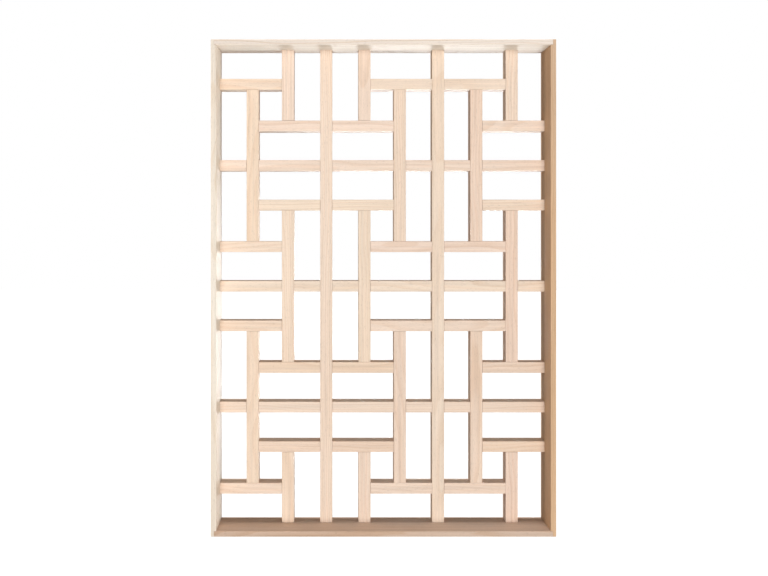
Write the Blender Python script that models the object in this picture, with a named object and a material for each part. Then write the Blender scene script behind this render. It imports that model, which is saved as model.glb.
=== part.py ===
"""Jali screen: a lattice of straight wooden bars set in a deep box frame of thin boards.

Units are metres, +Z is up. The screen stands on its underside, and the origin is the middle of
that underside. +X runs to the right across the front, and the front faces -Y.

The lattice repeats one tile, a pinwheel: two uprights and two crossbars that each start on one
side of the tile and stop against the next bar, around a small opening in the middle. Every other
tile is mirrored, so a bar that leaves one tile carries on into the next.
"""
from dataclasses import dataclass

import bmesh
import bpy
from mathutils import Vector

# Tile of the lattice, from centre line to centre line
TILE_WIDTH = 0.250
TILE_HEIGHT = 0.270
TILE_COLUMNS = 3
TILE_ROWS = 4
# From a tile's side to the centre of its nearer inner upright or crossbar
INNER_UPRIGHT_OFFSET = 0.0855
INNER_CROSSBAR_OFFSET = 0.0884
LINES_PER_TILE = 3

# Box frame: the tiles at its edge are cut by the boards' outer faces
SCREEN_WIDTH = TILE_COLUMNS * TILE_WIDTH
SCREEN_HEIGHT = TILE_ROWS * TILE_HEIGHT
FRAME_DEPTH = 0.100
BOARD_THICKNESS = 0.012
# A rail's end sits this far into a rebate in the stile
CORNER_REBATE = 0.005

# Lattice bars
UPRIGHT_WIDTH = 0.027
CROSSBAR_WIDTH = 0.024
BAR_DEPTH = 0.038
# From the frame's front edge back to the bars' front faces
LATTICE_RECESS = 0.060

# Joints
TENON_THICKNESS = 0.010
TENON_IN_BAR = 0.010
TENON_IN_BOARD = 0.006
JOINT_GAP = 0.0003
CUT_MARGIN = 0.002

# Places that follow from the sizes above
HALF_WIDTH = SCREEN_WIDTH / 2
FRAME_FRONT = -FRAME_DEPTH / 2
FRAME_BACK = FRAME_DEPTH / 2
BAR_FRONT = FRAME_FRONT + LATTICE_RECESS
BAR_BACK = BAR_FRONT + BAR_DEPTH
LAP_PLANE = (BAR_FRONT + BAR_BACK) / 2
TENON_FRONT = LAP_PLANE - TENON_THICKNESS / 2
TENON_BACK = LAP_PLANE + TENON_THICKNESS / 2
LAST_UPRIGHT_LINE = TILE_COLUMNS * LINES_PER_TILE
LAST_CROSSBAR_LINE = TILE_ROWS * LINES_PER_TILE

# Name, colour and roughness of each wood
FRAME_WOOD = ("frame_wood", (0.72, 0.49, 0.31, 1.0), 0.55)
LATTICE_WOOD = ("lattice_wood", (0.80, 0.62, 0.47, 1.0), 0.50)


@dataclass(frozen=True)
class Run:
    """A straight bar, from one line of the lattice to another."""

    name: str
    line: int
    start: int
    end: int

    def passes(self, line):
        """Whether the bar carries on past this line of the other direction."""
        return self.start < line < self.end


def line_distance(line, tile_size, inner_offset):
    """Distance of a lattice line from the first edge of the screen."""
    tile, step = divmod(line, LINES_PER_TILE)
    within_tile = (0.0, inner_offset, tile_size - inner_offset)[step]
    return tile * tile_size + within_tile


def upright_x(line):
    """Centre of the uprights on a line, counted from the left."""
    return line_distance(line, TILE_WIDTH, INNER_UPRIGHT_OFFSET) - HALF_WIDTH


def crossbar_z(line):
    """Centre of the crossbars on a line, counted from the top."""
    return SCREEN_HEIGHT - line_distance(line, TILE_HEIGHT, INNER_CROSSBAR_OFFSET)


def joined(stretches):
    """Stretches along one line, with those that meet end to end made one."""
    result = []
    for start, end in sorted(stretches):
        if result and result[-1][1] == start:
            result[-1] = (result[-1][0], end)
        else:
            result.append((start, end))
    return result


def pinwheel_stretches():
    """Lines that the uprights and the crossbars cover, tile by tile."""
    uprights = {}
    crossbars = {}
    for column in range(TILE_COLUMNS):
        for row in range(TILE_ROWS):
            left, top = column * LINES_PER_TILE, row * LINES_PER_TILE
            right, bottom = left + LINES_PER_TILE, top + LINES_PER_TILE
            inner_left, inner_right = left + 1, left + 2
            inner_top, inner_bottom = top + 1, top + 2
            hanging, standing = inner_right, inner_left
            from_left, from_right = inner_top, inner_bottom
            if (column + row) % 2:
                hanging, standing = standing, hanging
                from_left, from_right = from_right, from_left
            uprights.setdefault(hanging, []).append((top, inner_bottom))
            uprights.setdefault(standing, []).append((inner_top, bottom))
            crossbars.setdefault(from_left, []).append((left, inner_right))
            crossbars.setdefault(from_right, []).append((inner_left, right))
    for line in range(LINES_PER_TILE, LAST_UPRIGHT_LINE, LINES_PER_TILE):
        uprights[line] = [(0, LAST_CROSSBAR_LINE)]
    for line in range(LINES_PER_TILE, LAST_CROSSBAR_LINE, LINES_PER_TILE):
        crossbars[line] = [(0, LAST_UPRIGHT_LINE)]
    return uprights, crossbars


def named_runs(kind, lines, place_words):
    """The bars of one direction, named by line and by place along it."""
    runs = []
    for line, stretches in sorted(lines.items()):
        merged = joined(stretches)
        words = place_words[len(merged)]
        for word, (start, end) in zip(words, merged):
            runs.append(Run(f"{kind}_{line}{word}", line, start, end))
    return runs


def material(name, colour, roughness):
    """A plain wood finish."""
    wood = bpy.data.materials.new(name)
    wood.use_nodes = True
    shader = wood.node_tree.nodes["Principled BSDF"]
    shader.inputs["Base Color"].default_value = colour
    shader.inputs["Roughness"].default_value = roughness
    shader.inputs["Metallic"].default_value = 0.0
    return wood


def add_boxes(mesh, boxes, centre):
    """Fills a mesh with closed boxes, given by their corners, around a centre."""
    shape = bmesh.new()
    for low, high in boxes:
        low, high = Vector(low), Vector(high)
        corners = bmesh.ops.create_cube(shape, size=1.0)["verts"]
        bmesh.ops.scale(shape, vec=high - low, verts=corners)
        bmesh.ops.translate(shape, vec=(low + high) / 2 - centre, verts=corners)
    shape.to_mesh(mesh)
    shape.free()


def add_piece(name, low, high, cuts, wood, parent):
    """A squared length of wood with its joints cut out of it."""
    centre = (Vector(low) + Vector(high)) / 2
    mesh = bpy.data.meshes.new(name)
    add_boxes(mesh, [(low, high)], centre)
    mesh.materials.append(wood)
    piece = bpy.data.objects.new(name, mesh)
    piece.location = centre
    piece.parent = parent
    bpy.context.collection.objects.link(piece)

    cutter_mesh = bpy.data.meshes.new(f"{name}_joint_cutter")
    add_boxes(cutter_mesh, cuts, centre)
    cutter = bpy.data.objects.new(f"{name}_joint_cutter", cutter_mesh)
    cutter.location = centre
    cutter.parent = parent
    cutter.hide_render = True
    cutter.display_type = "WIRE"
    bpy.context.collection.objects.link(cutter)

    joints = piece.modifiers.new("joints", "BOOLEAN")
    joints.operation = "DIFFERENCE"
    joints.solver = "EXACT"
    joints.object = cutter


def shoulder_cuts(along, low, high, shoulder, tip):
    """The waste in front of a tenon and behind it, at one end of a bar."""
    past_tip = tip + CUT_MARGIN if tip > shoulder else tip - CUT_MARGIN
    cuts = []
    faces = ((BAR_FRONT - CUT_MARGIN, TENON_FRONT), (TENON_BACK, BAR_BACK + CUT_MARGIN))
    for front, back in faces:
        cut_low = [low[0] - CUT_MARGIN, front, low[2] - CUT_MARGIN]
        cut_high = [high[0] + CUT_MARGIN, back, high[2] + CUT_MARGIN]
        cut_low[along] = min(shoulder, past_tip)
        cut_high[along] = max(shoulder, past_tip)
        cuts.append((cut_low, cut_high))
    return cuts


def mortise_cut(along, face, depth, across_low, across_high):
    """The pocket for a tenon, cut into a face; a negative depth runs down the axis."""
    across = 2 - along
    outside = face - CUT_MARGIN if depth > 0 else face + CUT_MARGIN
    bottom = face + depth + (JOINT_GAP if depth > 0 else -JOINT_GAP)
    cut_low = [0.0, TENON_FRONT - JOINT_GAP, 0.0]
    cut_high = [0.0, TENON_BACK + JOINT_GAP, 0.0]
    cut_low[along] = min(outside, bottom)
    cut_high[along] = max(outside, bottom)
    cut_low[across] = across_low - JOINT_GAP
    cut_high[across] = across_high + JOINT_GAP
    return cut_low, cut_high


def upright_ends(run):
    """Heights of the faces that an upright's top and foot meet, and its tenons' lengths."""
    if run.start == 0:
        top = (SCREEN_HEIGHT - BOARD_THICKNESS, TENON_IN_BOARD)
    else:
        top = (crossbar_z(run.start) - CROSSBAR_WIDTH / 2, TENON_IN_BAR)
    if run.end == LAST_CROSSBAR_LINE:
        foot = (BOARD_THICKNESS, TENON_IN_BOARD)
    else:
        foot = (crossbar_z(run.end) + CROSSBAR_WIDTH / 2, TENON_IN_BAR)
    return top, foot


def crossbar_ends(run):
    """Places of the faces that a crossbar's left and right ends meet, and its tenons' lengths."""
    if run.start == 0:
        left = (BOARD_THICKNESS - HALF_WIDTH, TENON_IN_BOARD)
    else:
        left = (upright_x(run.start) + UPRIGHT_WIDTH / 2, TENON_IN_BAR)
    if run.end == LAST_UPRIGHT_LINE:
        right = (HALF_WIDTH - BOARD_THICKNESS, TENON_IN_BOARD)
    else:
        right = (upright_x(run.end) - UPRIGHT_WIDTH / 2, TENON_IN_BAR)
    return left, right


def upright_extent(run):
    """Left and right sides of an upright."""
    middle = upright_x(run.line)
    return middle - UPRIGHT_WIDTH / 2, middle + UPRIGHT_WIDTH / 2


def crossbar_extent(run):
    """Underside and top of a crossbar."""
    middle = crossbar_z(run.line)
    return middle - CROSSBAR_WIDTH / 2, middle + CROSSBAR_WIDTH / 2


def add_upright(run, crossbars, wood, parent):
    """An upright: it runs in front at each cross, and its ends are tenoned."""
    left, right = upright_extent(run)
    (top_face, top_tenon), (foot_face, foot_tenon) = upright_ends(run)
    low = (left, BAR_FRONT, foot_face - foot_tenon)
    high = (right, BAR_BACK, top_face + top_tenon)
    cuts = shoulder_cuts(2, low, high, top_face - JOINT_GAP, high[2])
    cuts += shoulder_cuts(2, low, high, foot_face + JOINT_GAP, low[2])
    for other in crossbars:
        if not run.passes(other.line):
            continue
        under, over = crossbar_extent(other)
        if other.passes(run.line):
            cuts.append(((left - CUT_MARGIN, LAP_PLANE - JOINT_GAP / 2, under - JOINT_GAP),
                         (right + CUT_MARGIN, BAR_BACK + CUT_MARGIN, over + JOINT_GAP)))
        elif other.end == run.line:
            cuts.append(mortise_cut(0, left, TENON_IN_BAR, under, over))
        elif other.start == run.line:
            cuts.append(mortise_cut(0, right, -TENON_IN_BAR, under, over))
    add_piece(run.name, low, high, cuts, wood, parent)


def add_crossbar(run, uprights, wood, parent):
    """A crossbar: it runs behind at each cross, and its ends are tenoned."""
    under, over = crossbar_extent(run)
    (left_face, left_tenon), (right_face, right_tenon) = crossbar_ends(run)
    low = (left_face - left_tenon, BAR_FRONT, under)
    high = (right_face + right_tenon, BAR_BACK, over)
    cuts = shoulder_cuts(0, low, high, left_face + JOINT_GAP, low[0])
    cuts += shoulder_cuts(0, low, high, right_face - JOINT_GAP, high[0])
    for other in uprights:
        if not run.passes(other.line):
            continue
        left, right = upright_extent(other)
        if other.passes(run.line):
            cuts.append(((left - JOINT_GAP, BAR_FRONT - CUT_MARGIN, under - CUT_MARGIN),
                         (right + JOINT_GAP, LAP_PLANE + JOINT_GAP / 2, over + CUT_MARGIN)))
        elif other.end == run.line:
            cuts.append(mortise_cut(2, over, -TENON_IN_BAR, left, right))
        elif other.start == run.line:
            cuts.append(mortise_cut(2, under, TENON_IN_BAR, left, right))
    add_piece(run.name, low, high, cuts, wood, parent)


def add_stile(name, side, crossbars, wood, parent):
    """A side board, as tall as the screen; side is -1 on the left and 1 on the right."""
    inner_face = side * (HALF_WIDTH - BOARD_THICKNESS)
    outer_face = side * HALF_WIDTH
    rebate_bottom = inner_face + side * (CORNER_REBATE + JOINT_GAP)
    past_inner_face = inner_face - side * CUT_MARGIN
    rail_ends = ((-CUT_MARGIN, BOARD_THICKNESS + JOINT_GAP),
                 (SCREEN_HEIGHT - BOARD_THICKNESS - JOINT_GAP, SCREEN_HEIGHT + CUT_MARGIN))
    cuts = []
    for bottom, top in rail_ends:
        cuts.append(((min(past_inner_face, rebate_bottom), FRAME_FRONT - CUT_MARGIN, bottom),
                     (max(past_inner_face, rebate_bottom), FRAME_BACK + CUT_MARGIN, top)))
    edge_line = 0 if side < 0 else LAST_UPRIGHT_LINE
    for run in crossbars:
        if edge_line in (run.start, run.end):
            under, over = crossbar_extent(run)
            cuts.append(mortise_cut(0, inner_face, side * TENON_IN_BOARD, under, over))
    low = (min(inner_face, outer_face), FRAME_FRONT, 0.0)
    high = (max(inner_face, outer_face), FRAME_BACK, SCREEN_HEIGHT)
    add_piece(name, low, high, cuts, wood, parent)


def add_rail(name, at_top, uprights, wood, parent):
    """The top or bottom board, between the stiles and let into their ends."""
    half_length = HALF_WIDTH - BOARD_THICKNESS + CORNER_REBATE
    bottom = SCREEN_HEIGHT - BOARD_THICKNESS if at_top else 0.0
    inner_face = bottom if at_top else BOARD_THICKNESS
    depth = TENON_IN_BOARD if at_top else -TENON_IN_BOARD
    edge_line = 0 if at_top else LAST_CROSSBAR_LINE
    cuts = []
    for run in uprights:
        if edge_line in (run.start, run.end):
            left, right = upright_extent(run)
            cuts.append(mortise_cut(2, inner_face, depth, left, right))
    low = (-half_length, FRAME_FRONT, bottom)
    high = (half_length, FRAME_BACK, bottom + BOARD_THICKNESS)
    add_piece(name, low, high, cuts, wood, parent)


def build_screen():
    """The whole screen, every piece under one empty at its foot."""
    for old in list(bpy.data.objects):
        bpy.data.objects.remove(old, do_unlink=True)
    screen = bpy.data.objects.new("jali_screen", None)
    bpy.context.collection.objects.link(screen)

    frame_wood = material(*FRAME_WOOD)
    lattice_wood = material(*LATTICE_WOOD)
    upright_lines, crossbar_lines = pinwheel_stretches()
    uprights = named_runs("upright", upright_lines,
                          {1: ("",), 2: ("_upper", "_lower"), 3: ("_upper", "_middle", "_lower")})
    crossbars = named_runs("crossbar", crossbar_lines, {1: ("",), 2: ("_left", "_right")})

    add_stile("stile_left", -1, crossbars, frame_wood, screen)
    add_stile("stile_right", 1, crossbars, frame_wood, screen)
    add_rail("rail_top", True, uprights, frame_wood, screen)
    add_rail("rail_bottom", False, uprights, frame_wood, screen)
    for run in uprights:
        add_upright(run, crossbars, lattice_wood, screen)
    for run in crossbars:
        add_crossbar(run, uprights, lattice_wood, screen)


build_screen()
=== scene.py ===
"""Looks of the jali screen: planed pale bars, joined into a lattice, in a deep box frame of thin boards.

Lengths are in metres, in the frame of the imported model: +Z is up, the front faces -Y, and the origin
is the middle of the underside. Every bar and board is modelled anew at the place of its node, the way
a joiner makes it: the stock is planed and its arrises are eased, it is cut to length, and then the
laps, mortises and tenons are cut where the other pieces meet it.
"""
from __future__ import annotations

import logging
import math
import random
from dataclasses import dataclass, field, replace
from enum import Enum

import bpy
from mathutils import Matrix, Vector

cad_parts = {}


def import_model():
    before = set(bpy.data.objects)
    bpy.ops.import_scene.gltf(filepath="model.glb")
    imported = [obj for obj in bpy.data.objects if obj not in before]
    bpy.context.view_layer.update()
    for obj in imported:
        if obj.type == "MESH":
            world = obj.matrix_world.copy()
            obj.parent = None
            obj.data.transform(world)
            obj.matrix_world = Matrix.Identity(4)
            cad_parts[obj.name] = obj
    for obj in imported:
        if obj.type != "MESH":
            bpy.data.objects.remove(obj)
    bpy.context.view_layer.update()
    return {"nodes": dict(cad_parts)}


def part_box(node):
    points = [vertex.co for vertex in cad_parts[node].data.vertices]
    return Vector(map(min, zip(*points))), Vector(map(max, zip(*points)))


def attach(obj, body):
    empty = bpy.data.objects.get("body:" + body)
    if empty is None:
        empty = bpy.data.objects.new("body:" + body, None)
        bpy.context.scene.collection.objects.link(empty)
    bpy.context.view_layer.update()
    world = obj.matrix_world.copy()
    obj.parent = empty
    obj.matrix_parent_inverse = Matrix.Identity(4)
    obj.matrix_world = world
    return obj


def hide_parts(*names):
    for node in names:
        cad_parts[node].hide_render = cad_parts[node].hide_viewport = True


LOG = logging.getLogger("jali_screen")
BODY = "root"
UP = 2
ACROSS = 0
DEPTH = 1
SAME_PLACE = 1e-5
STOCK_LENGTH = 1.0

Colour = tuple[float, float, float, float]
Socket = bpy.types.NodeSocket


def paint(red: int, green: int, blue: int) -> Colour:
    """A colour as a shader takes it, from the 0 to 255 values that a screen shows.

    Args:
        red: The red value.
        green: The green value.
        blue: The blue value.

    Returns:
        The linear colour, opaque.
    """
    shown = (red / 255.0, green / 255.0, blue / 255.0)
    linear = [v / 12.92 if v <= 0.04045 else ((v + 0.055) / 1.055) ** 2.4 for v in shown]
    return linear[0], linear[1], linear[2], 1.0


class Grain(Enum):
    """Which way the grain of a piece runs, by the axis that it follows."""

    UPRIGHT = UP
    LEVEL = ACROSS

    @property
    def across(self) -> int:
        """The other axis in the plane of the screen."""
        return ACROSS if self is Grain.UPRIGHT else UP


@dataclass(frozen=True)
class Box:
    """A box, by its lowest and highest corners."""

    low: Vector
    high: Vector

    @property
    def centre(self) -> Vector:
        """The middle of the box."""
        return (self.low + self.high) / 2

    @property
    def size(self) -> Vector:
        """The length of each side."""
        return self.high - self.low

    def overlaps(self, other: Box, least: float) -> bool:
        """Whether two boxes share more than a given length along every axis."""
        return all(min(self.high[i], other.high[i]) - max(self.low[i], other.low[i]) > least
                   for i in range(3))

    def passes(self, other: Box, axis: int, least: float) -> bool:
        """Whether this box reaches past both ends of another along an axis."""
        return self.low[axis] < other.low[axis] - least and self.high[axis] > other.high[axis] + least


@dataclass(frozen=True)
class Timber:
    """A piece of the screen: its node, the box that it fills and the way of its grain."""

    node: str
    box: Box
    grain: Grain

    @classmethod
    def from_frame(cls, node: str, grain: Grain) -> Timber:
        """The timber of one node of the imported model.

        Args:
            node: The node's name.
            grain: The way its grain runs.

        Returns:
            The timber.
        """
        return cls(node, Box(*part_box(node)), grain)


class Bench:
    """The joiner's bench: the few ways in which every piece here is worked."""

    @staticmethod
    def clear() -> None:
        """Leaves nothing selected."""
        bpy.ops.object.select_all(action="DESELECT")

    @staticmethod
    def take(piece: bpy.types.Object) -> None:
        """Makes one piece the only one selected, and the active one."""
        Bench.clear()
        piece.select_set(True)
        bpy.context.view_layer.objects.active = piece

    @staticmethod
    def block(name: str, box: Box) -> bpy.types.Object:
        """A plain block, with its place in its mesh.

        Args:
            name: The name of the block.
            box: The box that it fills.

        Returns:
            The block.
        """
        Bench.clear()
        bpy.ops.mesh.primitive_cube_add(size=1.0, location=box.centre, scale=box.size)
        bpy.ops.object.transform_apply(location=True, rotation=True, scale=True)
        made = bpy.context.object
        made.name = name
        made.data.name = name
        return made

    @staticmethod
    def copy(piece: bpy.types.Object, name: str) -> bpy.types.Object:
        """A copy of a piece, with a mesh of its own.

        Args:
            piece: The piece to copy.
            name: The name of the copy.

        Returns:
            The copy.
        """
        Bench.take(piece)
        bpy.ops.object.duplicate(linked=False)
        made = bpy.context.object
        made.name = name
        made.data.name = name
        return made

    @staticmethod
    def ease(piece: bpy.types.Object, chosen: list[int], radius: float, segments: int) -> None:
        """Rounds some edges of a piece.

        Args:
            piece: The piece.
            chosen: The numbers of the edges.
            radius: The width of the rounding.
            segments: The number of faces in it.
        """
        Bench.take(piece)
        bpy.ops.object.mode_set(mode="EDIT")
        bpy.ops.mesh.select_mode(type="EDGE")
        bpy.ops.mesh.select_all(action="DESELECT")
        bpy.ops.object.mode_set(mode="OBJECT")
        for number in chosen:
            piece.data.edges[number].select = True
        bpy.ops.object.mode_set(mode="EDIT")
        bpy.ops.mesh.bevel(offset=radius, segments=segments, profile=0.5, affect="EDGES")
        bpy.ops.object.mode_set(mode="OBJECT")

    @staticmethod
    def cut(piece: bpy.types.Object, cuts: list[Box]) -> None:
        """Cuts boxes out of a piece.

        Args:
            piece: The piece.
            cuts: The boxes.
        """
        if not cuts:
            return
        blocks = [Bench.block(f"{piece.name}_cut", box) for box in cuts]
        Bench.clear()
        for block in blocks:
            block.select_set(True)
        bpy.context.view_layer.objects.active = blocks[0]
        if len(blocks) > 1:
            bpy.ops.object.join()
        cutter = blocks[0]
        Bench.take(piece)
        joints = piece.modifiers.new("joints", "BOOLEAN")
        joints.operation = "DIFFERENCE"
        joints.solver = "EXACT"
        joints.object = cutter
        bpy.ops.object.modifier_apply(modifier=joints.name)
        bpy.data.objects.remove(cutter, do_unlink=True)

    @staticmethod
    def smooth(piece: bpy.types.Object, angle: float) -> None:
        """Shades the eased arrises round and the planed faces flat.

        Args:
            piece: The piece.
            angle: The sharpest turn, in degrees, that still shades round.
        """
        Bench.take(piece)
        bpy.ops.object.shade_smooth_by_angle(angle=math.radians(angle))
        flats = piece.modifiers.new("flats", "WEIGHTED_NORMAL")
        flats.mode = "FACE_AREA"
        flats.weight = 100
        flats.keep_sharp = True
        bpy.ops.object.modifier_apply(modifier=flats.name)


@dataclass(frozen=True)
class Joinery:
    """How the pieces meet: half laps at a cross, stub tenons at an end, rebates at the corners."""

    bar_front: float
    bar_back: float
    tenon_thickness: float = 0.010
    gap: float = 0.0003
    overcut: float = 0.002
    least_meeting: float = 0.001

    @property
    def plane(self) -> float:
        """The middle of the lattice's depth, where the laps meet and the tenons lie."""
        return (self.bar_front + self.bar_back) / 2

    def cuts(self, piece: Timber, others: list[Timber]) -> list[Box]:
        """Everything that comes out of a piece where the others meet it.

        Args:
            piece: The piece.
            others: All the timbers of the screen.

        Returns:
            The boxes to cut away.
        """
        found: list[Box] = []
        for other in others:
            if other.grain is piece.grain or not piece.box.overlaps(other.box, self.least_meeting):
                continue
            runs_on = piece.box.passes(other.box, piece.grain.value, self.least_meeting)
            other_runs_on = other.box.passes(piece.box, other.grain.value, self.least_meeting)
            if runs_on and other_runs_on:
                found.append(self.lap(piece, other))
            elif runs_on:
                found.append(self.mortise(piece, other))
            elif other_runs_on:
                found.extend(self.shoulders(piece, other))
            elif piece.grain is Grain.UPRIGHT:
                found.append(self.rebate(piece, other))
        return found

    def lap(self, piece: Timber, other: Timber) -> Box:
        """The half of a bar that makes room for a crossing bar: uprights run in front.

        Args:
            piece: The bar that is cut.
            other: The bar that crosses it.

        Returns:
            The box to cut away.
        """
        low, high = piece.box.low.copy(), piece.box.high.copy()
        along, across = piece.grain.value, piece.grain.across
        low[along] = other.box.low[along] - self.gap
        high[along] = other.box.high[along] + self.gap
        low[across] -= self.overcut
        high[across] += self.overcut
        if piece.grain is Grain.UPRIGHT:
            low[DEPTH] = self.plane - self.gap / 2
            high[DEPTH] += self.overcut
        else:
            low[DEPTH] -= self.overcut
            high[DEPTH] = self.plane + self.gap / 2
        return Box(low, high)

    def mortise(self, piece: Timber, other: Timber) -> Box:
        """The pocket for the tenon of a bar that ends in this piece.

        Args:
            piece: The piece that is cut.
            other: The bar that ends in it.

        Returns:
            The box to cut away.
        """
        along, across = piece.grain.value, piece.grain.across
        low, high = other.box.low.copy(), other.box.high.copy()
        low[along] -= self.gap
        high[along] += self.gap
        low[DEPTH] = self.plane - self.tenon_thickness / 2 - self.gap
        high[DEPTH] = self.plane + self.tenon_thickness / 2 + self.gap
        if other.box.centre[across] > piece.box.centre[across]:
            low[across] -= self.gap
            high[across] = piece.box.high[across] + self.overcut
        else:
            low[across] = piece.box.low[across] - self.overcut
            high[across] += self.gap
        return Box(low, high)

    def shoulders(self, piece: Timber, other: Timber) -> list[Box]:
        """The waste in front of a bar's tenon and behind it, where it ends in another piece.

        Args:
            piece: The bar that is cut.
            other: The piece that it ends in.

        Returns:
            The two boxes to cut away.
        """
        along, across = piece.grain.value, piece.grain.across
        low, high = piece.box.low.copy(), piece.box.high.copy()
        low[across] -= self.overcut
        high[across] += self.overcut
        if other.box.centre[along] > piece.box.centre[along]:
            low[along] = other.box.low[along] - self.gap
            high[along] += self.overcut
        else:
            low[along] -= self.overcut
            high[along] = other.box.high[along] + self.gap
        front_high = high.copy()
        front_high[DEPTH] = self.plane - self.tenon_thickness / 2
        front_low = low.copy()
        front_low[DEPTH] -= self.overcut
        back_low = low.copy()
        back_low[DEPTH] = self.plane + self.tenon_thickness / 2
        back_high = high.copy()
        back_high[DEPTH] += self.overcut
        return [Box(front_low, front_high), Box(back_low, back_high)]

    def rebate(self, stile: Timber, rail: Timber) -> Box:
        """The step at the end of a stile that the end of a rail sits in.

        Args:
            stile: The board that is cut.
            rail: The board that ends in it.

        Returns:
            The box to cut away.
        """
        low, high = rail.box.low.copy(), rail.box.high.copy()
        low[DEPTH] -= self.overcut
        high[DEPTH] += self.overcut
        if rail.box.centre[UP] > stile.box.centre[UP]:
            low[UP] -= self.gap
            high[UP] += self.overcut
        else:
            low[UP] -= self.overcut
            high[UP] += self.gap
        if stile.box.centre[ACROSS] > rail.box.centre[ACROSS]:
            low[ACROSS] = stile.box.low[ACROSS] - self.overcut
            high[ACROSS] += self.gap
        else:
            low[ACROSS] -= self.gap
            high[ACROSS] = stile.box.high[ACROSS] + self.overcut
        return Box(low, high)


@dataclass(frozen=True)
class Stock:
    """Planed stock of one section, with its long arrises eased, that pieces are cut from."""

    name: str
    width: float
    depth: float
    arris: float
    arris_segments: int = 3
    end_arris_share: float = 0.7
    end_arris_segments: int = 2
    round_shading: float = 40.0

    def plane(self) -> bpy.types.Object:
        """Planes a length of the stock, standing upright on the origin.

        Returns:
            The stock.
        """
        half = Vector((self.width / 2, self.depth / 2, 0.0))
        made = Bench.block(self.name, Box(-half, half + Vector((0.0, 0.0, STOCK_LENGTH))))
        heights = [v.co.z for v in made.data.vertices]
        long_edges = [e.index for e in made.data.edges
                      if abs(heights[e.vertices[0]] - heights[e.vertices[1]]) > STOCK_LENGTH / 2]
        Bench.ease(made, long_edges, self.arris, self.arris_segments)
        return made

    def cut_to_length(self, stock: bpy.types.Object, timber: Timber, name: str) -> bpy.types.Object:
        """A length of the stock, laid where a timber goes.

        Args:
            stock: The planed stock.
            timber: The timber to make.
            name: The name of the piece.

        Returns:
            The piece.
        """
        box = timber.box
        made = Bench.copy(stock, name)
        length = box.size[timber.grain.value] / STOCK_LENGTH
        made.data.transform(Matrix.Diagonal((1.0, 1.0, length, 1.0)))
        if timber.grain is Grain.LEVEL:
            made.rotation_euler.y = math.radians(90.0)
            made.location = (box.low.x, box.centre.y, box.centre.z)
        else:
            made.location = (box.centre.x, box.centre.y, box.low.z)
        Bench.take(made)
        bpy.ops.object.transform_apply(location=True, rotation=True, scale=True)
        return made

    def ease_ends(self, piece: bpy.types.Object, timber: Timber) -> None:
        """Rounds the edges of both end faces of a piece.

        Args:
            piece: The piece.
            timber: The timber that it is made for.
        """
        axis = timber.grain.value
        ends = (timber.box.low[axis], timber.box.high[axis])
        points = [v.co[axis] for v in piece.data.vertices]
        chosen = [e.index for e in piece.data.edges
                  if any(all(abs(points[v] - end) < SAME_PLACE for v in e.vertices) for end in ends)]
        Bench.ease(piece, chosen, self.arris * self.end_arris_share, self.end_arris_segments)


HEART_DISTANCES = (0.06, 0.16)
HEART_SIDES = (-90.0, 90.0)
HEART_SWING = 38.0
LOG_LENGTH = 40.0


@dataclass(frozen=True)
class Character:
    """What makes one length of wood differ from the next: its tone, its tint and its place in a log."""

    tone: float
    warmth: float
    log_place: Vector

    @classmethod
    def drawn_for(cls, timber: Timber, tone: float, spread: float) -> Character:
        """The character of a timber, the same at each run.

        Args:
            timber: The timber.
            tone: How deep its colour is, from 0 to 1, before chance.
            spread: How far chance takes the tone either way.

        Returns:
            The character.
        """
        chance = random.Random(timber.node)
        centre = timber.box.centre
        section = Vector((centre.x if timber.grain is Grain.UPRIGHT else -centre.z, centre.y, 0.0))
        heart_distance = chance.uniform(*HEART_DISTANCES)
        heart_angle = math.radians(chance.choice(HEART_SIDES) + chance.uniform(-HEART_SWING, HEART_SWING))
        heart = Vector((math.cos(heart_angle), math.sin(heart_angle), 0.0)) * heart_distance
        along = Vector((0.0, 0.0, chance.uniform(0.0, LOG_LENGTH)))
        return cls(
            min(1.0, max(0.0, tone + chance.uniform(-spread, spread))),
            chance.uniform(-1.0, 1.0),
            heart - section + along,
        )

    def write_on(self, piece: bpy.types.Object, box: Box) -> None:
        """Writes the character on a piece's mesh, for its finish to read.

        Args:
            piece: The piece.
            box: The box that it fills.
        """
        mesh = piece.data
        count = len(mesh.vertices)
        for name, value in (("tone", self.tone), ("warmth", self.warmth)):
            made = mesh.attributes.new(name, "FLOAT", "POINT")
            made.data.foreach_set("value", [value] * count)
        vectors = (("log_place", self.log_place), ("box_centre", box.centre), ("box_half", box.size / 2))
        for name, value in vectors:
            made = mesh.attributes.new(name, "FLOAT_VECTOR", "POINT")
            made.data.foreach_set("vector", list(value) * count)


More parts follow.
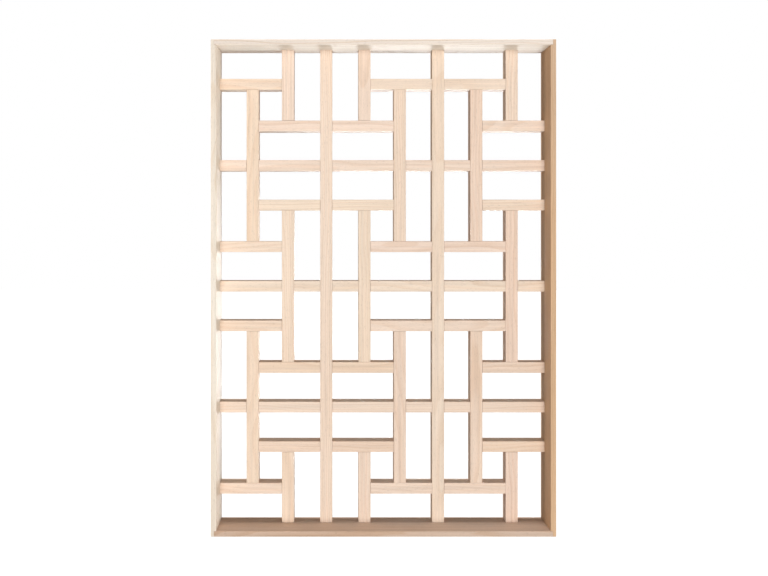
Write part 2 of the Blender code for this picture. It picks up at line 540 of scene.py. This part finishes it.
class NodeSheet:
    """A node tree that is being drawn up, with short ways to add and join its nodes."""

    def __init__(self, tree: bpy.types.NodeTree) -> None:
        """Starts on a tree."""
        self.tree = tree

    def node(self, kind: str, **settings: object) -> bpy.types.Node:
        """Adds a node.

        Args:
            kind: The node's type.
            settings: Values for its properties.

        Returns:
            The node.
        """
        made = self.tree.nodes.new(kind)
        for name, value in settings.items():
            setattr(made, name, value)
        return made

    def feed(self, socket: Socket, value: object) -> None:
        """Joins a socket to another one, or gives it a value."""
        if isinstance(value, bpy.types.NodeSocket):
            self.tree.links.new(value, socket)
        else:
            socket.default_value = value

    def maths(self, operation: str, *values: object, clamp: bool = False) -> Socket:
        """A sum on numbers.

        Args:
            operation: The sum.
            values: Up to three numbers or sockets.
            clamp: Whether the result is kept from 0 to 1.

        Returns:
            The result's socket.
        """
        made = self.node("ShaderNodeMath", operation=operation, use_clamp=clamp)
        for socket, value in zip(made.inputs, values):
            self.feed(socket, value)
        return made.outputs[0]

    def vectors(self, operation: str, *values: object, output: int = 0) -> Socket:
        """A sum on vectors.

        Args:
            operation: The sum.
            values: Up to three vectors or sockets.
            output: 0 for a vector, 1 for a number.

        Returns:
            The result's socket.
        """
        made = self.node("ShaderNodeVectorMath", operation=operation)
        for socket, value in zip(made.inputs, values):
            self.feed(socket, value)
        return made.outputs[output]

    def span(self, value: Socket, start: float, end: float, low: float = 0.0, high: float = 1.0) -> Socket:
        """A value read on a smooth ramp from one range to another.

        Args:
            value: The value.
            start: Where the ramp starts.
            end: Where it ends.
            low: Its result before the start.
            high: Its result past the end.

        Returns:
            The result's socket.
        """
        made = self.node("ShaderNodeMapRange", interpolation_type="SMOOTHSTEP")
        for name, number in (("From Min", start), ("From Max", end), ("To Min", low), ("To Max", high)):
            made.inputs[name].default_value = number
        self.feed(made.inputs["Value"], value)
        return made.outputs["Result"]

    def noise(self, place: Socket, waves: tuple[float, float, float], detail: float,
              roughness: float = 0.5) -> Socket:
        """Soft noise with its own fineness along each axis.

        Args:
            place: The coordinates, in metres.
            waves: Waves to the metre along each axis.
            detail: How many finer layers it has.
            roughness: How strong they are.

        Returns:
            The socket of a value around a half.
        """
        stretched = self.vectors("MULTIPLY", place, waves)
        made = self.node("ShaderNodeTexNoise", noise_dimensions="3D")
        made.inputs["Scale"].default_value = 1.0
        made.inputs["Detail"].default_value = detail
        made.inputs["Roughness"].default_value = roughness
        self.feed(made.inputs["Vector"], stretched)
        return made.outputs["Fac"]

    def mix(self, share: object, first: object, second: object, blend: str = "MIX") -> Socket:
        """Two colours mixed.

        Args:
            share: How much of the second there is.
            first: A colour or its socket.
            second: A colour or its socket.
            blend: The way of mixing.

        Returns:
            The colour's socket.
        """
        made = self.node("ShaderNodeMix", data_type="RGBA", blend_type=blend)
        self.feed(made.inputs["Factor"], share)
        self.feed(made.inputs[6], first)
        self.feed(made.inputs[7], second)
        return made.outputs[2]

    def by_ray(self, unseen: Socket, seen: Socket) -> Socket:
        """One shader for the eye and another for the light that falls on things.

        Args:
            unseen: The shader for every ray but the camera's.
            seen: The shader for the camera's rays.

        Returns:
            The shader's socket.
        """
        made = self.node("ShaderNodeMixShader")
        self.feed(made.inputs[0], self.node("ShaderNodeLightPath").outputs["Is Camera Ray"])
        self.feed(made.inputs[1], unseen)
        self.feed(made.inputs[2], seen)
        return made.outputs[0]

    def background(self, colour: Colour, strength: float) -> Socket:
        """A sky of one colour."""
        made = self.node("ShaderNodeBackground")
        made.inputs["Color"].default_value = colour
        made.inputs["Strength"].default_value = strength
        return made.outputs[0]

    def attribute(self, name: str, vector: bool = False) -> Socket:
        """A value written on the piece's mesh."""
        made = self.node("ShaderNodeAttribute", attribute_type="GEOMETRY", attribute_name=name)
        return made.outputs["Vector" if vector else "Fac"]


class SharedEffect:
    """A node group with named sockets, drawn up once and placed in each finish."""

    def __init__(self, name: str, inputs: dict[str, str], outputs: dict[str, str]) -> None:
        """Makes the empty group.

        Args:
            name: The group's name.
            inputs: Each input's socket type, by its name.
            outputs: Each output's socket type, by its name.
        """
        self.tree = bpy.data.node_groups.new(name, "ShaderNodeTree")
        for label, kind in inputs.items():
            self.tree.interface.new_socket(label, in_out="INPUT", socket_type=kind)
        for label, kind in outputs.items():
            self.tree.interface.new_socket(label, in_out="OUTPUT", socket_type=kind)
        self.sheet = NodeSheet(self.tree)
        self.inputs = self.sheet.node("NodeGroupInput").outputs
        self.outputs = self.sheet.node("NodeGroupOutput").inputs

    def place(self, sheet: NodeSheet, **values: object) -> bpy.types.Node:
        """Places the group on a sheet.

        Args:
            sheet: The sheet.
            values: Values or sockets for its inputs, with _ for each blank in a name.

        Returns:
            The group's node.
        """
        made = sheet.node("ShaderNodeGroup")
        made.node_tree = self.tree
        for name, value in values.items():
            sheet.feed(made.inputs[name.replace("_", " ")], value)
        return made


VALUE = "NodeSocketFloat"
VECTOR = "NodeSocketVector"
COLOUR = "NodeSocketColor"

# Waves to the metre in each layer of the figure, twice across the grain and then along it.
DRIFT_WAVES = (7.0, 7.0, 2.3)
RIPPLE_WAVES = (55.0, 55.0, 6.0)
STREAK_WAVES = (150.0, 150.0, 3.2)
FIBRE_WAVES = (1300.0, 1300.0, 24.0)
FLECK_WAVES = (1050.0, 1050.0, 130.0)
CLOUD_WAVES = (9.0, 9.0, 1.4)

# A year's ring: where its late wood starts and is full, where it ends, and how strong the faintest is.
LATE_WOOD_START = (0.25, 0.86)
LATE_WOOD_END = (0.90, 1.0)
FAINTEST_RING = 0.4
RIPPLE_SHARE = 0.12
FLECK_LEVELS = (0.60, 0.72)

# How much each layer does to the tone, the shade, the roughness and the height of the surface.
ARRIS_REACH = 0.0022
CLOUD_TONE = 0.18
STREAK_SHADES = (1.045, 0.93)
FIBRE_SHADES = (1.025, 0.965)
FLECK_SHADE = 0.86
END_GRAIN_TURN = (0.7, 0.95)
END_GRAIN_SHADE = -0.24
ARRIS_SHADE = 0.035
PINK_TINT = (1.0, 0.985, 0.99, 1.0)
GOLD_TINT = (0.995, 1.0, 0.955, 1.0)
FIBRE_ROUGHNESS = 0.16
RING_ROUGHNESS = -0.06
END_GRAIN_ROUGHNESS = 0.12
ARRIS_ROUGHNESS = -0.05
FIBRE_HEIGHT = 0.55
RING_HEIGHT = 0.3
STREAK_HEIGHT = 0.5
FLECK_HEIGHT = -0.6


class WoodEffects:
    """The effects that every wooden finish shares: the figure, the eased arrises, the whole surface."""

    def __init__(self) -> None:
        """Draws up the groups."""
        self.figure = self.draw_figure()
        self.arris = self.draw_arris()
        self.surface = self.draw_surface()

    def draw_figure(self) -> SharedEffect:
        """The figure of the wood around the heart of its log, with the grain along Z.

        Returns:
            The group, which puts out masks from 0 to 1.
        """
        effect = SharedEffect(
            "wood_figure",
            {"Place": VECTOR, "Ring Spacing": VALUE, "Wander": VALUE},
            {"Rings": VALUE, "Streaks": VALUE, "Fibres": VALUE, "Flecks": VALUE, "Clouds": VALUE},
        )
        sheet, place = effect.sheet, effect.inputs["Place"]
        flat = sheet.vectors("MULTIPLY", place, (1.0, 1.0, 0.0))
        from_heart = sheet.vectors("LENGTH", flat, output=1)
        drift = sheet.maths("SUBTRACT", sheet.noise(place, DRIFT_WAVES, 2.0), 0.5)
        ripple = sheet.maths("SUBTRACT", sheet.noise(place, RIPPLE_WAVES, 2.0), 0.5)
        drift = sheet.maths("MULTIPLY", drift, effect.inputs["Wander"])
        finer = sheet.maths("MULTIPLY", effect.inputs["Wander"], RIPPLE_SHARE)
        ripple = sheet.maths("MULTIPLY", ripple, finer)
        radius = sheet.maths("ADD", sheet.maths("ADD", from_heart, drift), ripple)
        count = sheet.maths("DIVIDE", radius, effect.inputs["Ring Spacing"])
        within = sheet.maths("FRACT", count)
        rise = sheet.span(within, *LATE_WOOD_START)
        fall = sheet.span(within, *LATE_WOOD_END, 1.0, 0.0)
        year = sheet.node("ShaderNodeTexWhiteNoise", noise_dimensions="1D")
        sheet.feed(year.inputs["W"], sheet.maths("FLOOR", count))
        strength = sheet.maths("MULTIPLY_ADD", year.outputs["Value"], 1.0 - FAINTEST_RING, FAINTEST_RING)
        rings = sheet.maths("MULTIPLY", sheet.maths("MULTIPLY", rise, fall), strength)
        sheet.feed(effect.outputs["Rings"], rings)
        sheet.feed(effect.outputs["Streaks"], sheet.noise(place, STREAK_WAVES, 4.0, 0.62))
        sheet.feed(effect.outputs["Fibres"], sheet.noise(place, FIBRE_WAVES, 3.0, 0.6))
        flecks = sheet.noise(place, FLECK_WAVES, 1.0)
        sheet.feed(effect.outputs["Flecks"], sheet.span(flecks, *FLECK_LEVELS))
        sheet.feed(effect.outputs["Clouds"], sheet.noise(place, CLOUD_WAVES, 2.0))
        return effect

    def draw_arris(self) -> SharedEffect:
        """How near a point of a squared piece is to its nearest arris.

        Returns:
            The group, which puts out 1 on an arris and 0 past its reach.
        """
        effect = SharedEffect(
            "arris_nearness",
            {"Place": VECTOR, "Centre": VECTOR, "Half": VECTOR, "Reach": VALUE},
            {"Nearness": VALUE},
        )
        sheet = effect.sheet
        offset = sheet.vectors("SUBTRACT", effect.inputs["Place"], effect.inputs["Centre"])
        inside = sheet.vectors("SUBTRACT", effect.inputs["Half"], sheet.vectors("ABSOLUTE", offset))
        split = sheet.node("ShaderNodeSeparateXYZ")
        sheet.feed(split.inputs[0], inside)
        x, y, z = split.outputs
        least = sheet.maths("MINIMUM", sheet.maths("MINIMUM", x, y), z)
        most = sheet.maths("MAXIMUM", sheet.maths("MAXIMUM", x, y), z)
        total = sheet.maths("ADD", sheet.maths("ADD", x, y), z)
        middle = sheet.maths("SUBTRACT", sheet.maths("SUBTRACT", total, least), most)
        share = sheet.maths("DIVIDE", middle, effect.inputs["Reach"])
        sheet.feed(effect.outputs["Nearness"], sheet.span(share, 0.0, 1.0, 1.0, 0.0))
        return effect

    def draw_surface(self) -> SharedEffect:
        """A planed, thinly oiled surface, from the figure of the wood under it.

        Returns:
            The group, which puts out colour, roughness and height.
        """
        effect = SharedEffect(
            "planed_wood",
            {
                "Place": VECTOR, "Grain Place": VECTOR, "Grain Normal": VECTOR,
                "Box Centre": VECTOR, "Box Half": VECTOR, "Tone": VALUE, "Warmth": VALUE,
                "Pale": COLOUR, "Deep": COLOUR, "Late Wood": COLOUR, "Ring Spacing": VALUE,
                "Wander": VALUE, "Figure": VALUE, "Base Roughness": VALUE,
            },
            {"Color": COLOUR, "Roughness": VALUE, "Height": VALUE},
        )
        sheet, given = effect.sheet, effect.inputs
        figure = self.figure.place(sheet, Place=given["Grain Place"], Ring_Spacing=given["Ring Spacing"],
                                   Wander=given["Wander"]).outputs
        arris = self.arris.place(sheet, Place=given["Place"], Centre=given["Box Centre"],
                                 Half=given["Box Half"], Reach=ARRIS_REACH).outputs["Nearness"]
        clouds = sheet.span(figure["Clouds"], 0.3, 0.7, -CLOUD_TONE, CLOUD_TONE)
        depth = sheet.maths("ADD", given["Tone"], clouds, clamp=True)
        wood = sheet.mix(depth, given["Pale"], given["Deep"])
        rings = sheet.maths("MULTIPLY", figure["Rings"], given["Figure"])
        wood = sheet.mix(rings, wood, sheet.mix(1.0, wood, given["Late Wood"], "MULTIPLY"))
        streaks = sheet.span(figure["Streaks"], 0.32, 0.68, *STREAK_SHADES)
        fibres = sheet.span(figure["Fibres"], 0.3, 0.7, *FIBRE_SHADES)
        flecks = sheet.span(figure["Flecks"], 0.0, 1.0, 1.0, FLECK_SHADE)
        shade = sheet.maths("MULTIPLY", sheet.maths("MULTIPLY", streaks, fibres), flecks)
        split = sheet.node("ShaderNodeSeparateXYZ")
        sheet.feed(split.inputs[0], given["Grain Normal"])
        end_grain = sheet.span(sheet.maths("ABSOLUTE", split.outputs[2]), *END_GRAIN_TURN)
        shade = sheet.maths("MULTIPLY", shade, sheet.maths("MULTIPLY_ADD", end_grain, END_GRAIN_SHADE, 1.0))
        shade = sheet.maths("MULTIPLY", shade, sheet.maths("MULTIPLY_ADD", arris, ARRIS_SHADE, 1.0))
        wood = sheet.mix(1.0, wood, shade, "MULTIPLY")
        tint = sheet.mix(sheet.maths("MULTIPLY_ADD", given["Warmth"], 0.5, 0.5), PINK_TINT, GOLD_TINT)
        sheet.feed(effect.outputs["Color"], sheet.mix(1.0, wood, tint, "MULTIPLY"))
        rough = sheet.maths("MULTIPLY_ADD", figure["Fibres"], FIBRE_ROUGHNESS, given["Base Roughness"])
        rough = sheet.maths("MULTIPLY_ADD", rings, RING_ROUGHNESS, rough)
        rough = sheet.maths("MULTIPLY_ADD", end_grain, END_GRAIN_ROUGHNESS, rough)
        rough = sheet.maths("MULTIPLY_ADD", arris, ARRIS_ROUGHNESS, rough, clamp=True)
        sheet.feed(effect.outputs["Roughness"], rough)
        height = sheet.maths("MULTIPLY", rings, RING_HEIGHT)
        height = sheet.maths("MULTIPLY_ADD", figure["Fibres"], FIBRE_HEIGHT, height)
        height = sheet.maths("MULTIPLY_ADD", figure["Streaks"], STREAK_HEIGHT, height)
        height = sheet.maths("MULTIPLY_ADD", figure["Flecks"], FLECK_HEIGHT, height)
        sheet.feed(effect.outputs["Height"], height)
        return effect


@dataclass(frozen=True)
class WoodFinish:
    """A planed wood, from its palest to its deepest piece."""

    name: str
    slot: str
    pale: Colour
    deep: Colour
    late_wood: Colour
    ring_spacing: float
    wander: float
    figure: float
    roughness: float
    specular: float
    relief: float

    def material(self, effects: WoodEffects, grain: Grain) -> bpy.types.Material:
        """The finish for pieces whose grain runs one way.

        Args:
            effects: The groups that it is put together from.
            grain: The way the grain runs.

        Returns:
            The material.
        """
        made = bpy.data.materials.new(f"{self.name}_{grain.name.lower()}_grain")
        made.use_nodes = True
        sheet = NodeSheet(made.node_tree)
        shader = made.node_tree.nodes["Principled BSDF"]
        coordinates = sheet.node("ShaderNodeTexCoord").outputs
        turned = []
        for source in ("Object", "Normal"):
            turn = sheet.node("ShaderNodeMapping", vector_type="POINT")
            if grain is Grain.LEVEL:
                turn.inputs["Rotation"].default_value = (0.0, math.radians(-90.0), 0.0)
            sheet.feed(turn.inputs["Vector"], coordinates[source])
            turned.append(turn.outputs["Vector"])
        place = sheet.vectors("ADD", turned[0], sheet.attribute("log_place", vector=True))
        surface = effects.surface.place(
            sheet, Place=coordinates["Object"], Grain_Place=place, Grain_Normal=turned[1],
            Box_Centre=sheet.attribute("box_centre", vector=True),
            Box_Half=sheet.attribute("box_half", vector=True),
            Tone=sheet.attribute("tone"), Warmth=sheet.attribute("warmth"),
            Pale=self.pale, Deep=self.deep, Late_Wood=self.late_wood, Ring_Spacing=self.ring_spacing,
            Wander=self.wander, Figure=self.figure, Base_Roughness=self.roughness,
        ).outputs
        bump = sheet.node("ShaderNodeBump")
        bump.inputs["Strength"].default_value = 1.0
        bump.inputs["Distance"].default_value = self.relief
        sheet.feed(bump.inputs["Height"], surface["Height"])
        sheet.feed(shader.inputs["Base Color"], surface["Color"])
        sheet.feed(shader.inputs["Roughness"], surface["Roughness"])
        sheet.feed(shader.inputs["Normal"], bump.outputs["Normal"])
        shader.inputs["Specular IOR Level"].default_value = self.specular
        return made

    def materials(self, effects: WoodEffects) -> dict[Grain, bpy.types.Material]:
        """The finish for each way of the grain."""
        return {grain: self.material(effects, grain) for grain in Grain}


LATTICE_WOOD = WoodFinish(
    name="lattice_wood",
    slot="lattice_wood",
    pale=paint(244, 223, 206),
    deep=paint(238, 209, 186),
    late_wood=(0.90, 0.83, 0.76, 1.0),
    ring_spacing=0.0034,
    wander=0.030,
    figure=0.75,
    roughness=0.54,
    specular=0.22,
    relief=0.00012,
)
FRAME_WOOD = WoodFinish(
    name="frame_wood",
    slot="frame_wood",
    pale=paint(239, 227, 216),
    deep=paint(211, 175, 141),
    late_wood=(0.88, 0.80, 0.71, 1.0),
    ring_spacing=0.0040,
    wander=0.034,
    figure=0.85,
    roughness=0.56,
    specular=0.20,
    relief=0.00014,
)
# The lower board's finish is the frame wood with a greyer deep colour: partly the board's own colour, partly
# painted shade for its shaded inner face.
LOWER_RAIL_WOOD_AND_SHADE = replace(FRAME_WOOD, name="lower_rail_wood_and_shade", deep=paint(202, 174, 151))
# Board tones: pale on the left and at the top, deep on the right and at the bottom. This is partly the
# wood's own tone and partly painted shade for the shaded right and bottom boards.
BOARD_TONES_AND_SHADE = {"stile_left": 0.05, "rail_top": 0.22, "rail_bottom": 1.0, "stile_right": 0.98}
BOARD_TONE_SPREAD = 0.03
BOARD_ARRIS = 0.0012
BAR_ARRIS = 0.0010


@dataclass
class Assembly:
    """Pieces of one kind that are made alike: how they are cut, joined and dressed."""

    stock: Stock
    finish: WoodFinish
    joinery: Joinery
    kind: str
    timbers: list[Timber]
    eased_ends: bool = False
    # Tones given by node; for the boards they hold painted shade as well as the wood's tone.
    tones_and_shade: dict[str, float] = field(default_factory=dict)
    usual_tone: float = 0.3
    tone_spread: float = 0.2

    def build(self, effects: WoodEffects, others: list[Timber]) -> list[bpy.types.Object]:
        """Makes every piece, in its place.

        Args:
            effects: The groups of the wooden finishes.
            others: All the timbers of the screen.

        Returns:
            The pieces.
        """
        finishes = self.finish.materials(effects)
        stock = self.stock.plane()
        made = [self.make(stock, timber, others, finishes[timber.grain]) for timber in self.timbers]
        bpy.data.objects.remove(stock, do_unlink=True)
        return made

    def make(self, stock: bpy.types.Object, timber: Timber, others: list[Timber],
             finish: bpy.types.Material) -> bpy.types.Object:
        """Makes one piece.

        Args:
            stock: The planed stock.
            timber: The timber that it is made for.
            others: All the timbers of the screen.
            finish: Its material.

        Returns:
            The piece.
        """
        piece = self.stock.cut_to_length(stock, timber, f"{timber.node}_{self.kind}")
        if self.eased_ends and timber.grain is Grain.UPRIGHT:
            self.stock.ease_ends(piece, timber)
        Bench.cut(piece, self.joinery.cuts(timber, others))
        Bench.smooth(piece, self.stock.round_shading)
        piece.data.materials.clear()
        piece.data.materials.append(finish)
        tone = self.tones_and_shade.get(timber.node, self.usual_tone)
        Character.drawn_for(timber, tone, self.tone_spread).write_on(piece, timber.box)
        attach(piece, BODY)
        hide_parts(timber.node)
        LOG.info("%s: %d faces", piece.name, len(piece.data.polygons))
        return piece


@dataclass(frozen=True)
class Lamp:
    """A far, soft lamp: the way it is seen from the screen, how bright and how wide it is, and its tint."""

    name: str
    seen: tuple[float, float, float]
    strength: float
    width: float
    tint: tuple[float, float, float] = (1.0, 1.0, 1.0)

    def hang(self) -> None:
        """Adds the lamp. At a strength of 1 it alone shows a white face that is square on to it as white."""
        Bench.clear()
        turn = Vector(self.seen).to_track_quat("Z", "Y").to_euler()
        bpy.ops.object.light_add(type="SUN", location=self.seen, rotation=turn)
        light = bpy.context.object
        light.name = self.name
        light.data.energy = self.strength * math.pi
        light.data.angle = math.radians(self.width)
        light.data.color = self.tint


STUDIO_LAMPS = (
    Lamp("front_lamp", (0.0, -1.0, 0.0), 0.65, 24.0),
    Lamp("right_lamp", (1.0, -0.15, 0.0), 0.32, 8.0, (0.96, 1.0, 1.0)),
    Lamp("low_lamp", (0.0, -0.12, -1.0), 0.35, 6.0, (0.86, 1.0, 1.0)),
    Lamp("left_lamp", (-1.0, 0.04, 0.0), 0.52, 4.0),
    Lamp("top_lamp", (0.0, 0.04, 1.0), 0.48, 4.0),
    Lamp("back_lamp", (0.10, 1.0, -0.10), 0.64, 16.0),
    Lamp("left_recess_lamp", (-1.0, -0.085, 0.0), 0.12, 3.0),
    Lamp("top_recess_lamp", (0.0, -0.060, 1.0), 0.31, 2.5),
)


@dataclass(frozen=True)
class Studio:
    """A white sweep in an even glow, with a lamp for each side of the screen and two for its recess."""

    floor_size: float = 16.0
    floor_glow: float = 0.96
    floor_colour: Colour = (0.12, 0.12, 0.12, 1.0)
    glow: float = 0.30
    glow_colour: Colour = (1.0, 0.98, 0.955, 1.0)
    lamps: tuple[Lamp, ...] = STUDIO_LAMPS

    def build(self) -> None:
        """Lays the floor and lights the scene."""
        self.lay_floor()
        self.light_sky()
        for lamp in self.lamps:
            lamp.hang()
        bpy.context.scene.view_settings.view_transform = "Standard"

    def lay_floor(self) -> None:
        """The floor: the eye sees it white, and the light from below comes up through it."""
        Bench.clear()
        bpy.ops.mesh.primitive_plane_add(size=self.floor_size, location=(0.0, 0.0, 0.0))
        floor = bpy.context.object
        floor.name = "floor"
        finish = bpy.data.materials.new("white_floor")
        finish.use_nodes = True
        finish.node_tree.nodes.clear()
        sheet = NodeSheet(finish.node_tree)
        glow = sheet.node("ShaderNodeEmission")
        glow.inputs["Strength"].default_value = self.floor_glow
        matt = sheet.node("ShaderNodeBsdfDiffuse")
        matt.inputs["Color"].default_value = self.floor_colour
        both = sheet.node("ShaderNodeAddShader")
        sheet.feed(both.inputs[0], glow.outputs[0])
        sheet.feed(both.inputs[1], matt.outputs[0])
        clear = sheet.node("ShaderNodeBsdfTransparent")
        output = sheet.node("ShaderNodeOutputMaterial")
        sheet.feed(output.inputs["Surface"], sheet.by_ray(clear.outputs[0], both.outputs[0]))
        floor.data.materials.append(finish)

    def light_sky(self) -> None:
        """The sky: white to the eye, and an even glow for everything else."""
        world = bpy.data.worlds.new("studio_sky")
        bpy.context.scene.world = world
        world.use_nodes = True
        world.node_tree.nodes.clear()
        sheet = NodeSheet(world.node_tree)
        lit = sheet.background(self.glow_colour, self.glow)
        white = sheet.background((1.0, 1.0, 1.0, 1.0), 1.0)
        output = sheet.node("ShaderNodeOutputWorld")
        sheet.feed(output.inputs["Surface"], sheet.by_ray(lit, white))


@dataclass(frozen=True)
class PhotoCamera:
    """The viewpoint of the photograph: level, square on to the screen, a little high and to the left."""

    eye: tuple[float, float, float] = (-0.1009, -2.081, 0.6702)
    frame_width: int = 768
    frame_height: int = 576
    opposite_pixel: tuple[float, float] = (337.0, 228.0)
    pixels_per_radian: float = 936.0
    sensor_width: float = 36.0

    def build(self) -> bpy.types.Object:
        """Sets the camera up.

        Returns:
            The camera.
        """
        data = bpy.data.cameras.new("photo_camera")
        data.sensor_width = self.sensor_width
        data.lens = self.pixels_per_radian * self.sensor_width / self.frame_width
        data.shift_x = (self.frame_width / 2 - self.opposite_pixel[0]) / self.frame_width
        data.shift_y = (self.opposite_pixel[1] - self.frame_height / 2) / self.frame_width
        camera = bpy.data.objects.new("photo_camera", data)
        camera.location = self.eye
        camera.rotation_euler = (math.radians(90.0), 0.0, 0.0)
        bpy.context.scene.collection.objects.link(camera)
        bpy.context.scene.camera = camera
        return camera


def main() -> None:
    """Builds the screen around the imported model, piece by piece, and the studio around it."""
    logging.basicConfig(level=logging.INFO, format="%(name)s: %(message)s")
    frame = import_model()
    nodes = sorted(frame["nodes"])
    Bench.clear()

    def timbers(prefix: str, grain: Grain) -> list[Timber]:
        """The timbers whose nodes' names start with a word."""
        return [Timber.from_frame(node, grain) for node in nodes if node.startswith(prefix)]

    stiles = timbers("stile", Grain.UPRIGHT)
    lower_rail, upper_rail = timbers("rail_bottom", Grain.LEVEL), timbers("rail_top", Grain.LEVEL)
    uprights, crossbars = timbers("upright", Grain.UPRIGHT), timbers("crossbar", Grain.LEVEL)
    everything = stiles + lower_rail + upper_rail + uprights + crossbars

    board, upright, crossbar = (Box(*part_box(node)) for node in ("stile_left", "upright_3", "crossbar_3"))
    joinery = Joinery(bar_front=upright.low.y, bar_back=upright.high.y)
    board_stock = Stock("board_stock", board.size.x, board.size.y, BOARD_ARRIS)
    upright_stock = Stock("upright_stock", upright.size.x, upright.size.y, BAR_ARRIS)
    crossbar_stock = Stock("crossbar_stock", crossbar.size.z, crossbar.size.y, BAR_ARRIS)
    effects = WoodEffects()
    assemblies = (
        Assembly(board_stock, FRAME_WOOD, joinery, "board", stiles + upper_rail, eased_ends=True,
                 tones_and_shade=BOARD_TONES_AND_SHADE, tone_spread=BOARD_TONE_SPREAD),
        Assembly(board_stock, LOWER_RAIL_WOOD_AND_SHADE, joinery, "board", lower_rail, eased_ends=True,
                 tones_and_shade=BOARD_TONES_AND_SHADE, tone_spread=BOARD_TONE_SPREAD),
        Assembly(upright_stock, LATTICE_WOOD, joinery, "bar", uprights),
        Assembly(crossbar_stock, LATTICE_WOOD, joinery, "bar", crossbars),
    )
    for assembly in assemblies:
        assembly.build(effects, everything)

    Studio().build()
    PhotoCamera().build()


if __name__ == "__main__":
    main()
